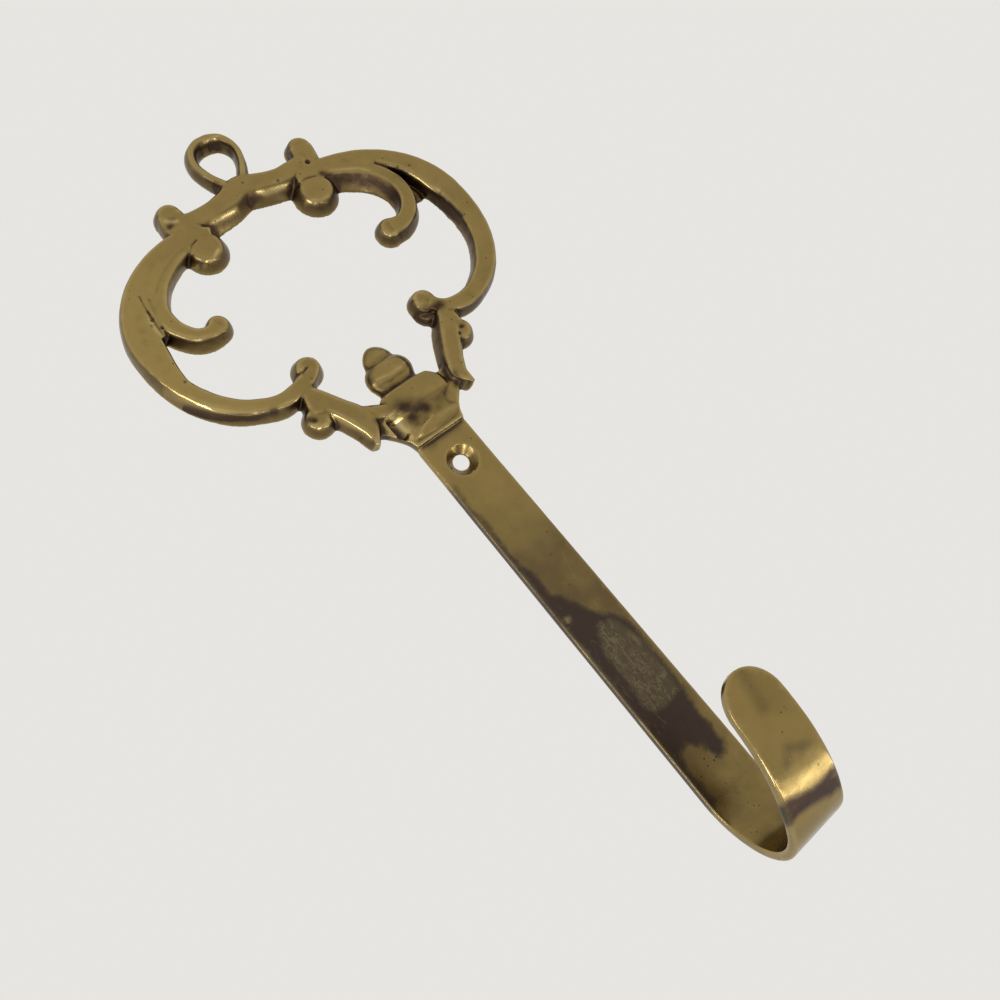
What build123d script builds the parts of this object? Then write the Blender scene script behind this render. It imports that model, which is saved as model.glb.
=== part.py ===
from build123d import *
import os
from math import acos, atan2, cos, hypot, radians, sin, tan

# A cast brass wall hook: a pierced scroll crest, a flat strap with one countersunk
# screw hole, and a strap end bent forward into a J with a rounded tongue.
# Frame, mm: the origin is the centre of the screw hole on the wall face, +Z up,
# +X to the right seen from the front. The wall is the plane Y = 0, the front faces -Y.
# Places are (x, z) in the frame, given for the right half where a form has a twin.

# Strap
strap_thickness = 2.65
strap_top_width = 16.0
strap_low_width = 17.8
bend_drop = 107.0  # below the screw hole, where the strap starts to bend

# Screw hole
hole_radius = 2.25
sink_radius = 4.6
sink_angle = 90  # included angle of the countersink, degrees

# J bend and tongue
bend_radius = 17.4  # on the strap's wall side
bend_turn = 135  # degrees, from straight down to forward and up
tongue_radius = 46.0
tongue_turn = 52
tongue_width = 15.0
tongue_tip_length = 9.0

# Crest as a whole
crest_depth = 5.3
ledge_height = 9.2  # foot of the shield above the screw hole
bevel_shares = (0.75, 0.45)  # a form's bevel is cut twice, which nearly rounds its edge

# Shield at the foot of the crest. Its side is given out from the strap's edge and up from the ledge.
shield_height = 17.0
shield_side = [(0.0, 0.0), (0.9, 3.6), (2.0, 6.8), (2.3, 11.0), (0.1, 15.6), (-2.9, 16.7)]
shield_depth = 6.1  # at its crease
shield_top_depth = 4.7
shield_foot_depth = 5.3
shield_crown_radius = 26.0
crease_drop = 6.2  # from the shield's top edge to its crease
step_height = 3.6  # the slope from the strap up to the shield

# Finial on the shield: half widths, and heights above the shield's top edge
bead_profile = [(6.2, -2.0), (6.3, 2.6), (7.1, 5.6), (4.6, 8.8)]
cap_profile = [(4.1, 9.4), (2.5, 13.2), (0.4, 15.1)]
finial_flatness = 0.68  # the depth of the finial against a full round

# Main arcs
arc_bevel = 1.1
arc_route = [(14.3, 89.4), (17.8, 92.2), (24.5, 93.0), (34.8, 89.5), (44.2, 81.9), (49.4, 71.1),
             (50.3, 60.0), (45.9, 48.7), (37.4, 41.0), (29.5, 38.1), (23.5, 38.3), (19.3, 40.4)]
arc_widths = [2.8, 3.8, 5.0, 6.1, 7.2, 8.2, 8.2, 7.0, 6.2, 5.3, 4.4, 4.4]

# Inner branches, split off the arcs
branch_width = 6.4
branch_depth = 5.0
branch_bevel = 1.6
branch_route = [(22.3, 90.8), (28.7, 88.3), (35.1, 83.9), (38.6, 78.1), (38.6, 72.4),
                (35.3, 67.6), (29.5, 65.4)]
branch_tip_radius = 4.0
branch_tip_place = (28.0, 65.9)

# Bulbs where the arcs meet the top bar
bulb_radius = 6.2
bulb_depth = 5.5
bulb_bevel = 1.8
bulb_place = (18.2, 87.3)

# Top bar, its two horns and the loop above it
bar_depth = 5.2  # the loop has the same
bar_bevel = 0.9
bar_underside_bevel = 2.8
bar_top_route = [(8.6, 99.4), (12.3, 98.3), (16.7, 99.5), (19.5, 103.4), (22.0, 104.3), (24.6, 103.2),
                 (25.5, 100.3), (24.5, 95.7)]
bar_foot_route = [(0.0, 92.8), (6.0, 90.8), (11.3, 90.3), (17.0, 90.7)]
hollow_radius = 3.4
hollow_depth = 0.7
hollow_place = (21.9, 97.4)
loop_radius = 7.75
loop_centre = 110.3
loop_foot = 101.4
loop_foot_half_width = 5.8
loop_bevel = 0.7
eye_radius = 5.6
eye_sink = 1.3  # its centre below the loop's
eye_foot = 101.1
eye_foot_half_width = 0.6

# Volutes at the lower ends of the arcs
volute_radius = 4.3
volute_depth = 5.1
volute_bevel = 1.5
volute_place = (19.3, 42.3)
volute_dimple_place = (21.1, 42.9)

# Legs from the arcs down to the shield, with their knobs and feet
leg_depth = 5.2
leg_bevel = 1.1
leg_route = [(22.6, 38.5), (22.4, 33.6), (18.9, 28.9), (15.4, 23.6), (14.5, 19.6), (15.4, 16.0)]
leg_widths = [6.2, 6.2, 6.2, 6.2, 5.4, 4.2]
knob_radius = 4.2
knob_depth = 4.9
knob_bevel = 1.5
knob_place = (23.8, 29.9)
knob_dimple_place = (24.7, 30.5)
dimple_radius = 1.5
dimple_depth = 0.6

# Webs that join the legs to the shield, lower than both. Their outline is given out from the
# strap's edge and up from the ledge.
web_depth = 3.3
web_bevel = 1.0
web_under = [(0.0, 0.0), (0.5, 2.1), (1.6, 4.0), (4.6, 7.5)]
web_end = [(6.6, 9.0), (5.6, 16.4)]
web_over = [(4.6, 16.8), (2.6, 15.6), (-0.2, 15.6)]


def front_edges(body):
    # The curved edges of the front face. Its straight ones end inside a neighbouring form.
    front = body.faces().sort_by(Axis.Y)[0]
    return front.edges().filter_by(GeomType.LINE, reverse=True)


def slab(outline, depth, bevel):
    # A form with its flat back on the wall and its front edges eased by two bevels.
    body = extrude(Plane.XZ * outline, amount=depth)
    for share in bevel_shares:
        body = chamfer(front_edges(body), share * bevel)
    return body


def disc(place, radius, depth, bevel):
    # A round form, small enough for one bevel.
    body = extrude(Plane.XZ * Pos(*place) * Circle(radius), amount=depth)
    return chamfer(front_edges(body), bevel_shares[0] * bevel)


def dimple(place, depth_at, radius, depth):
    # The cone that leaves a pointed hollow of this radius and depth in a front face.
    return Plane.XZ * Pos(*place, depth_at) * Cone(0, 2 * radius, 2 * depth)


def ribbon(route, widths):
    # The outline of a bar that follows a route while its width changes.
    middle = Spline(*route)
    left = []
    right = []
    for point, width in zip(route, widths):
        along = middle % middle.param_at_point(point)
        across = Vector(-along.Y, along.X) * (width / 2)
        left.append(Vector(*point) + across)
        right.append(Vector(*point) - across)
    return make_face([Spline(*left), Line(left[-1], right[-1]), Spline(*right), Line(left[0], right[0])])


def both_sides(form):
    return form + mirror(form, Plane.YZ)


def hook_side(top, inset):
    # One edge of the bent strap seen from the side: down the wall, round the J, up the tongue.
    straight = Line((-inset, top), (-inset, -bend_drop))
    bend = JernArc(straight @ 1, straight % 1, bend_radius - inset, -bend_turn)
    tongue = JernArc(bend @ 1, bend % 1, tongue_radius - inset, -tongue_turn)
    return [straight, bend, tongue]


def tapered(top, top_width, foot, foot_width):
    # A front outline that widens from its top to its foot, with some to spare below.
    spare = foot - bend_radius
    right = [(top_width / 2, top), (foot_width / 2, foot), (foot_width / 2, spare)]
    left = [(-x, z) for x, z in reversed(right)]
    return make_face(Polyline(*right, *left, close=True))


def strap_and_hook():
    top = ledge_height + step_height
    wall_edge = hook_side(top, 0)
    room_edge = hook_side(top, strap_thickness)
    tip = wall_edge[2] @ 1
    top_end = Line(wall_edge[0] @ 0, room_edge[0] @ 0)
    tip_end = Line(tip, room_edge[2] @ 1)
    side = make_face(wall_edge + room_edge + [top_end, tip_end])
    strip = extrude(Plane.YZ * side, amount=strap_low_width, both=True)

    low = -bend_drop - bend_radius
    shoulder = tip.Y - tongue_tip_length
    strap_outline = tapered(top, strap_top_width, -bend_drop, strap_low_width)
    tongue_outline = tapered(shoulder, tongue_width, low, strap_low_width)
    tongue_outline += Pos(0, shoulder) * Ellipse(tongue_width / 2, tongue_tip_length)
    wall_side = extrude(Plane.XZ * strap_outline, amount=bend_radius)
    room_side = extrude(Plane.XZ.offset(bend_radius) * tongue_outline, amount=2 * bend_radius)
    return strip & (wall_side + room_side)


def screw_hole():
    sink_depth = (sink_radius - hole_radius) / tan(radians(sink_angle / 2))
    bore = Plane.XZ * Cylinder(hole_radius, 4 * strap_thickness)
    cone_middle = strap_thickness - sink_depth / 2
    cone = Plane.XZ * Pos(0, 0, cone_middle) * Cone(hole_radius, sink_radius, sink_depth)
    return bore + cone


def beside_strap(route):
    # Places given out from the strap's edge and up from the ledge, as places in the frame.
    return [(strap_top_width / 2 + out, ledge_height + up) for out, up in route]


def shield():
    top = ledge_height + shield_height
    right = beside_strap(shield_side)
    left = [(-x, z) for x, z in reversed(right)]
    outline = make_face([Spline(*right, (0, top), *left), Line(left[-1], right[0])])
    slices = make_face(Polyline(
        (0, ledge_height), (-strap_thickness, ledge_height),
        (-shield_foot_depth, ledge_height + step_height),
        (-shield_depth, top - crease_drop), (-shield_top_depth, top), (0, top), close=True))
    facets = extrude(Plane.YZ * slices, amount=strap_top_width, both=True)
    crown = Pos(0, shield_crown_radius - shield_depth, 0) * Cylinder(shield_crown_radius, 4 * top)
    return extrude(Plane.XZ * outline, amount=2 * shield_depth) & facets & crown


def finial():
    top = ledge_height + shield_height
    (neck_foot, neck_top, *bead_route) = [(across, top + up) for across, up in bead_profile]
    cap_route = [(across, top + up) for across, up in cap_profile]
    neck = Line(neck_foot, neck_top)
    bead = Spline(neck_top, *bead_route)
    rim = Line(bead @ 1, cap_route[0])
    cap = Spline(*cap_route)
    tip = Line(cap @ 1, (0, cap_route[-1][1]))
    foot = Line((0, neck_foot[1]), neck_foot)
    profile = make_face([foot, neck, bead, rim, cap, tip, Line(tip @ 1, foot @ 0)])
    turned = revolve(Plane.XZ * profile, Axis.Z, 360)
    half = split(turned, Plane.XZ, keep=Keep.TOP)
    return scale(half, (1, finial_flatness, 1))


def main_arc():
    return slab(ribbon(arc_route, arc_widths), crest_depth, arc_bevel)


def branch():
    bar = slab(ribbon(branch_route, [branch_width] * len(branch_route)), branch_depth, branch_bevel)
    return bar + disc(branch_tip_place, branch_tip_radius, branch_depth, branch_bevel)


def bar_and_horn():
    top_edge = Spline((loop_foot_half_width, loop_foot), *bar_top_route)
    foot_edge = Spline(*bar_foot_route)
    outline = make_face([top_edge, Line(top_edge @ 1, foot_edge @ 1), foot_edge,
                         Line(foot_edge @ 0, (0, loop_foot)), Line((0, loop_foot), top_edge @ 0)])
    body = extrude(Plane.XZ * outline, amount=bar_depth)
    for end, bevel in ((0, bar_underside_bevel), (-1, bar_bevel)):
        for share in bevel_shares:
            body = chamfer(front_edges(body).sort_by(Axis.Z)[end], share * bevel)
    return body


def teardrop(centre, radius, foot_half_width, foot):
    # A round head on two sides that leave it smoothly and run down to a straight foot.
    drop = centre - foot
    turn = acos(radius / hypot(foot_half_width, drop)) - atan2(drop, foot_half_width)
    shoulder = (radius * cos(turn), centre + radius * sin(turn))
    head = ThreePointArc(shoulder, (0, centre + radius), (-shoulder[0], shoulder[1]))
    foot_line = Line((-foot_half_width, foot), (foot_half_width, foot))
    left = Spline(head @ 1, foot_line @ 0, tangents=[head % 1, (foot_line @ 0) - (head @ 1)])
    right = Spline(foot_line @ 1, head @ 0, tangents=[(head @ 0) - (foot_line @ 1), head % 0])
    return make_face([head, left, foot_line, right])


def loop():
    ring = teardrop(loop_centre, loop_radius, loop_foot_half_width, loop_foot)
    eye = teardrop(loop_centre - eye_sink, eye_radius, eye_foot_half_width, eye_foot)
    return slab(ring - eye, bar_depth, loop_bevel)


def volute():
    return disc(volute_place, volute_radius, volute_depth, volute_bevel)


def leg():
    knob = disc(knob_place, knob_radius, knob_depth, knob_bevel)
    return slab(ribbon(leg_route, leg_widths), leg_depth, leg_bevel) + knob


def web():
    under = Spline(*beside_strap(web_under))
    end = Polyline(under @ 1, *beside_strap(web_end), beside_strap(web_over)[0])
    over = Spline(*beside_strap(web_over))
    inside = Polyline(over @ 1, (0, (over @ 1).Y), (0, ledge_height), under @ 0)
    return slab(make_face([under, *end.edges(), over, *inside.edges()]), web_depth, web_bevel)


def hollows():
    # The sunk places in the crest's face: beside each horn, in each volute and each knob.
    horn = dimple(hollow_place, bar_depth, hollow_radius, hollow_depth)
    eye = dimple(volute_dimple_place, volute_depth, dimple_radius, dimple_depth)
    knob = dimple(knob_dimple_place, knob_depth, dimple_radius, dimple_depth)
    return both_sides(horn + eye + knob)


def wall_hook():
    half = bar_and_horn() + main_arc() + branch() + volute() + leg()
    half += web() + disc(bulb_place, bulb_radius, bulb_depth, bulb_bevel)
    crest = both_sides(half) + loop() + shield() + finial()
    return crest - hollows() + strap_and_hook() - screw_hole()


os.makedirs("parts", exist_ok=True)
export_step(wall_hook(), "parts/wall_hook.step")
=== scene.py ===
import bpy, bmesh, math
import numpy as np
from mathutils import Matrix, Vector


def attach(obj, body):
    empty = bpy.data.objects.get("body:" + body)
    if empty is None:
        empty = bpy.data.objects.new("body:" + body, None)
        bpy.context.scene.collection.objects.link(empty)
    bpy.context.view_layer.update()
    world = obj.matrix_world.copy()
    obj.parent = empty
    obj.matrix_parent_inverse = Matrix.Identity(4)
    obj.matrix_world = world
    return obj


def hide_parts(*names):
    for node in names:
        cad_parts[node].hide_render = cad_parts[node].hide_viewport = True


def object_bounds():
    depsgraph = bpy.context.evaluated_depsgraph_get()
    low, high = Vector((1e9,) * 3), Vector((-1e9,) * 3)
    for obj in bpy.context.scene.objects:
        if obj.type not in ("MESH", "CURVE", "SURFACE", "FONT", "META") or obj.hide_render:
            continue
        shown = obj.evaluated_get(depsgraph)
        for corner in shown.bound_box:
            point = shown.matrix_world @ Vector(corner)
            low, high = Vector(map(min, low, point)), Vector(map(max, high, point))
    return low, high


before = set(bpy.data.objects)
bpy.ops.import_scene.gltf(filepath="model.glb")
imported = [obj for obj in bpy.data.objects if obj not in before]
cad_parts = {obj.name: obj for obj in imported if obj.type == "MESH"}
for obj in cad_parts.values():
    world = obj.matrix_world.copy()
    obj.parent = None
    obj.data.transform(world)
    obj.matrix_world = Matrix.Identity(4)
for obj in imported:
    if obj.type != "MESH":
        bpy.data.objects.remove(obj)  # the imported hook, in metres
cadLow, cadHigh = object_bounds()
mm = 0.001
toFront = (0, -1, 0)
print("frame loaded: box", [round(v, 4) for v in (*cadLow, *cadHigh)])


# Small helpers for node trees and meshes.

def put(tree, kind, given=None, **settings):  # adds a node, sets it up and wires its inputs
    node = tree.nodes.new(kind)
    node.location = (190 * (len(tree.nodes) % 12), -260 * (len(tree.nodes) // 12))
    for key, value in settings.items():
        setattr(node, key, value)
    for key, value in (given or {}).items():
        if isinstance(value, bpy.types.NodeSocket):
            tree.links.new(value, node.inputs[key])
        else:
            node.inputs[key].default_value = value
    return node


def made(tree, kind, given=None, **settings):  # the same, where the node's first output is wanted
    return put(tree, kind, given, **settings).outputs[0]


def mathsIn(tree):  # Math nodes of one tree, by their operation
    def calc(operation, a, b=None):
        given = {0: a} if b is None else {0: a, 1: b}
        return made(tree, "ShaderNodeMath", given, operation=operation)
    return calc


def apartOf(tree, vector):  # a vector's three parts, by the names X, Y and Z
    return put(tree, "ShaderNodeSeparateXYZ", {0: vector}).outputs


def together(tree, x, y, z):
    return made(tree, "ShaderNodeCombineXYZ", {0: x, 1: y, 2: z})


def geometryTree(name, inputs):
    tree = bpy.data.node_groups.new(name, "GeometryNodeTree")
    for way in ("INPUT", "OUTPUT"):
        tree.interface.new_socket("Geometry", in_out=way, socket_type="NodeSocketGeometry")
    for label, kind in inputs:
        tree.interface.new_socket(label, in_out="INPUT", socket_type="NodeSocket" + kind)
    return tree, put(tree, "NodeGroupInput").outputs


def endTree(tree, geometry, metal):  # every tree ends in the same two nodes
    real = made(tree, "GeometryNodeRealizeInstances", {"Geometry": geometry})
    done = made(tree, "GeometryNodeSetMaterial", {"Geometry": real, "Material": metal})
    put(tree, "NodeGroupOutput", {"Geometry": done})


def emptied(owner):  # the node tree of a material or a world, without its nodes
    owner.use_nodes = True
    owner.node_tree.nodes.clear()
    return owner.node_tree


def attribute(tree, name, kind="FLOAT"):
    return made(tree, "GeometryNodeInputNamedAttribute", {"Name": name}, data_type=kind)


def stored(tree, geometry, name, value, kind="FLOAT"):  # stores a value on the points under a name
    given = {"Geometry": geometry, "Name": name, "Value": value}
    return made(tree, "GeometryNodeStoreNamedAttribute", given, data_type=kind, domain="POINT")


def placed(tree, geometry, place):
    return made(tree, "GeometryNodeSetPosition", {"Geometry": geometry, "Position": place})


def newObject(name, mesh):
    piece = bpy.data.objects.new(name, mesh)
    bpy.context.scene.collection.objects.link(piece)
    return piece


def baked(piece, name, *used):  # what the modifiers give, without the pieces they used
    depsgraph = bpy.context.evaluated_depsgraph_get()
    mesh = bpy.data.meshes.new_from_object(piece.evaluated_get(depsgraph), depsgraph=depsgraph)
    mesh.name = name
    for old in (piece, *used):
        bpy.data.objects.remove(old)
    return newObject(name, mesh)


def grown(source, tree, values, name):  # runs a Geometry Nodes tree and keeps its result
    modifier = source.modifiers.new(name, "NODES")
    modifier.node_group = tree
    for item in tree.interface.items_tree:
        if item.item_type == "SOCKET" and item.in_out == "INPUT" and item.name in values:
            modifier[item.identifier] = values[item.name]
    return baked(source, name)


def keptOn(mesh, name, values):  # one number for every point, under a name
    mesh.attributes.new(name, "FLOAT", "POINT").data.foreach_set("value", values)


def polylines(name, routes, lengths, shares=()):  # points joined in runs, with values on each point
    mesh = bpy.data.meshes.new(name)
    places, edges, values = [], [], []
    for route in routes:
        first = len(places)
        for row in route:
            places.append([v * mm for v in row[:3]])
            values.append([v * mm for v in row[3:3 + len(lengths)]] + list(row[3 + len(lengths):]))
        edges += [(first + i, first + i + 1) for i in range(len(route) - 1)]
    mesh.from_pydata(places, edges, [])
    for column, label in enumerate([*lengths, *shares]):
        keptOn(mesh, label, [row[column] for row in values])
    return newObject(name, mesh)


def joinRings(bm, rings, capped=True):  # faces between one ring of points and the next
    for low, high in zip(rings, rings[1:]):
        for i in range(len(low)):
            j = (i + 1) % len(low)
            corners = list(dict.fromkeys([low[i], low[j], high[j], high[i]]))
            if len(corners) > 2:
                bm.faces.new(corners)
    for ring in (rings[0], rings[-1]) if capped else ():
        bm.faces.new(ring)


def closedForm(bm, name):
    bmesh.ops.recalc_face_normals(bm, faces=bm.faces)
    mesh = bpy.data.meshes.new(name)
    bm.to_mesh(mesh)
    bm.free()
    return newObject(name, mesh)


def rowsOf(items, field, width=3, kind=float):  # one value of every point or edge, as rows
    values = np.empty(len(items) * width, dtype=kind)
    items.foreach_get(field, values)
    return values.reshape(-1, width)


brass = bpy.data.materials.new("agedBrass")


# Scroll arms: bars that follow a route while their width changes.

arms = {  # lengths in mm
    "around": 52,
    "resolution": 20,
    "swell": 0.85,  # how long a side stays upright on its way from the foot to the face
    "step": 0.5,
    # Each bar is its depth, its squareness (2 is round) and its route. A row of the route is x, z,
    # half the face's width, and the reach of the foot to the left and the right, or once for both.
    "bars": {
        "rightArc": (5.35, 8, [
            (15, 90.2, 1.6, 2, 2.4), (18.5, 91.8, 2.1, 2.8, 3.2), (24.8, 92.6, 2.2, 2.8, 3.8),
            (35, 89.4, 2.4, 3.2, 4.6), (43.9, 82.8, 2.9, 3.6, 4.9), (49, 73.4, 3.8, 4.4, 5),
            (50.8, 62.5, 3.5, 3.9, 4.7), (49, 51.6, 3.3, 4, 3.8), (43.8, 42.8, 3.1, 3.8),
            (36.8, 38, 2.8, 3.3, 3.5), (30.5, 36.6, 2.5, 3.3, 3.2), (25, 38, 2, 2.8),
            (21.6, 41.2, 1.8, 2.4)]),
        "leftArc": (5.35, 7.5, [
            (-15, 90.2, 1.6, 2.4, 2), (-18.5, 91.8, 2.1, 3.2, 2.8), (-24.8, 92.8, 2.3, 3.8, 2.8),
            (-35, 89.5, 2.8, 4, 3.3), (-43.7, 82.7, 3.1, 4.2, 3.9), (-48.8, 73, 3, 4.4, 3.6),
            (-48.6, 62, 2.6, 4), (-45.6, 52.6, 2.4, 3.8, 4.1), (-39.9, 44.9, 2.2, 3.8),
            (-33.5, 40.8, 2.1, 3.4), (-28.5, 39.3, 2.2, 3, 3.5), (-24, 39.8, 2.2, 2.8),
            (-20.4, 41, 2.1, 2.5)]),
        "rightBranch": (5.3, 7.5, [
            (22.1, 91.1, 2, 2.8, 4.8), (28.7, 88.8, 2, 2.8, 5.6), (34.9, 84.5, 2.1, 2.8, 5.6),
            (38.4, 78.5, 2.2, 2.9, 5.1), (38.5, 72.8, 2.2, 3.2, 4.3), (36, 68.4, 2.4, 3.9, 3.2),
            (31.8, 65.9, 2.5, 4, 3), (27.9, 66, 2.9, 4.1, 3.7)]),
        "leftBranch": (5.2, 6.5, [
            (-22.5, 91, 2.6, 3.2, 3), (-29, 88.5, 2.9, 3.4, 3.2), (-35.2, 84.4, 3, 3.4),
            (-39.3, 78.2, 2.9, 3.3, 3.8), (-39.1, 72.3, 2.4, 3.1, 4.2), (-36.2, 67.4, 1.9, 2.5, 4),
            (-32.6, 65.7, 1.9, 2.5, 3.9), (-29.7, 66.1, 2.6, 3.4, 3.8)]),
        "rightLeg": (5.25, 6.5, [
            (23, 37.6, 1.8, 2.8), (22.3, 33.6, 3, 3.8, 4.6), (19.4, 28.9, 2.9, 3.8, 4.8),
            (16.2, 23.6, 2.7, 3.6, 4.2), (15.2, 19.9, 2.2, 2.9, 3.6), (15.9, 17.3, 1.2, 1.9, 2.5),
            (16.4, 15.4, 0.4, 1, 1.5)]),
        "leftLeg": (5.25, 6.5, [
            (-22.6, 38.4, 2, 2.8), (-20.8, 34, 2.9, 3.6, 4), (-18.3, 29.8, 2.9, 3.6, 4.4),
            (-15.6, 24.8, 3.3, 3.8, 4.7), (-14.9, 21.2, 2.8, 3.2, 4.3),
            (-15.5, 17.8, 1.4, 1.7, 3.1), (-16.3, 15.4, 0.5, 0.7, 1.5)]),
        "leftGusset": (5, 5, [(-14, 25, 2.3, 2.6), (-10, 22.8, 2.3, 2.8), (-5.6, 21.2, 1.2, 2)]),
        "leftCurl": (5.3, 5.5, [
            (-23.4, 39.6, 2.1, 3, 2.6), (-19.2, 40.9, 2, 2.8, 2.6), (-16.4, 43, 1.8, 2.2),
            (-16.6, 44.8, 1.6, 2)]),
        "rightCurl": (5.2, 4.2, [
            (26, 38, 1.7, 2.4, 2.2), (23.4, 40.2, 1.7, 2.4, 2.2), (22, 43, 1.6, 2.2),
            (20.4, 44.6, 1.5, 2), (18.7, 43.6, 1.4, 1.8)]),
        "bar": (5.35, 5.2, [
            (-20.5, 96.4, 2.9, 3.3, 6), (-15.5, 96, 2.8, 3.2, 5.8), (-10.5, 96.2, 2.7, 3.2, 6),
            (-5.2, 97, 3.2, 3.5, 6), (0, 98.8, 3.4, 3.8, 6.3), (5.2, 97.4, 2.9, 3.5, 6.1),
            (10.5, 96.1, 2.7, 3.2, 6), (15.5, 96, 2.8, 3.2, 5.8), (20.5, 96.4, 2.9, 3.3, 6)]),
        "rightHorn": (5.2, 6.5, [
            (20, 93.5, 4, 4.8), (21.6, 97.5, 3.7, 4.4), (22.3, 101, 3.5, 4.2)]),
        "leftHorn": (5.2, 6.5, [
            (-20.2, 93.5, 4.4, 5), (-21, 97.5, 4, 4.6), (-20.9, 100.7, 3.5, 4.2)]),
        "loopRight": (5.4, 2.8, [
            (1.7, 98.8, 2, 2.4), (3.6, 102, 1.6, 1.9, 2), (5.8, 106, 1.4, 1.5, 1.7),
            (6.6, 110.5, 1.4, 1.5, 1.6), (5, 114.5, 1.5, 2.2, 1.8), (1.9, 116.2, 1.6, 2.7, 1.7),
            (-1, 116.2, 1.6, 2.7, 1.7)]),
        "loopLeft": (5.4, 2.8, [
            (-1.7, 98.8, 2, 2.4), (-3.5, 102, 1.6, 1.9), (-5.4, 106, 1.6, 1.6, 2.1),
            (-6.2, 110.5, 1.7, 1.7, 2.1), (-4.7, 114.3, 1.6, 2.1, 2.3),
            (-1.6, 116.2, 1.6, 1.7, 2.7), (1, 116.2, 1.6, 1.7, 2.7)]),
        # Metal that fills the corners between bulbs, arcs, branches and legs.
        "rightShoulder": (5.35, 7, [
            (25.5, 91.8, 2.2, 2.8), (20.2, 91.2, 2.9, 3.6), (17.2, 88.2, 4, 5)]),
        "leftShoulder": (5.35, 7, [
            (-25.5, 92.4, 2.6, 3.2), (-21.5, 91.2, 3.8, 4.6), (-18.8, 88, 4, 5)]),
        "rightInfill": (5.35, 7, [
            (23.6, 91.4, 1.8, 2.4), (28, 90.2, 1.8, 2.4), (33, 87.9, 1.7, 2.4),
            (36.8, 85.6, 0.8, 1.6)]),
        "leftInfill": (5.35, 7, [
            (-23.4, 91.4, 1.8, 2.6), (-28, 90.2, 2, 2.6), (-34, 87.4, 2.2, 2.8),
            (-40, 82.2, 2, 2.8)]),
        "rightBridge": (5.35, 6, [(18.8, 95.4, 3.2, 4), (17.7, 90.5, 3.8, 4.8)]),
        "leftBridge": (5.35, 6, [(-19.2, 95.4, 3.2, 4), (-18.7, 90.5, 3.7, 4.8)]),
        "rightKnee": (5.2, 6, [(23.6, 35.6, 2.4, 3.2), (23.2, 31, 2.8, 3.6)]),
        "leftKnee": (5.2, 6, [
            (-22.4, 37, 2, 2.8), (-22.8, 33.6, 2.4, 3.4), (-23.4, 31.4, 1.8, 2.8)]),
        "rightForkFoot": (1.7, 2.6, [
            (40.6, 82, 2, 2.8), (42, 78, 2.4, 3.4), (42.4, 74, 2.2, 3.2), (41.9, 70.2, 1.4, 2.2)]),
        "leftFork": (5.3, 6.5, [
            (-40.6, 84.5, 2.4, 3), (-42.2, 80, 2.2, 3), (-42.8, 75, 1.6, 2.8),
            (-43, 70.6, 0.9, 2.4)]),
        "leftForkFoot": (5.35, 7, [
            (-42, 82, 2, 2.4, 2.6), (-44.4, 77, 2.4, 2.6, 3), (-45.8, 71.5, 2.7, 2.8, 3),
            (-46.6, 66.8, 2.8, 2.9, 3), (-46.9, 62.4, 2.4, 2.6, 2.8), (-46.6, 58, 1.9, 2.2, 2.4),
            (-45.6, 53.5, 1.2, 1.6, 1.8)]),
        "rightCrotch": (3.2, 3, [(25.5, 36.5, 2.2, 3), (21.5, 38.5, 2.2, 3)]),
    },
}


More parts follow.
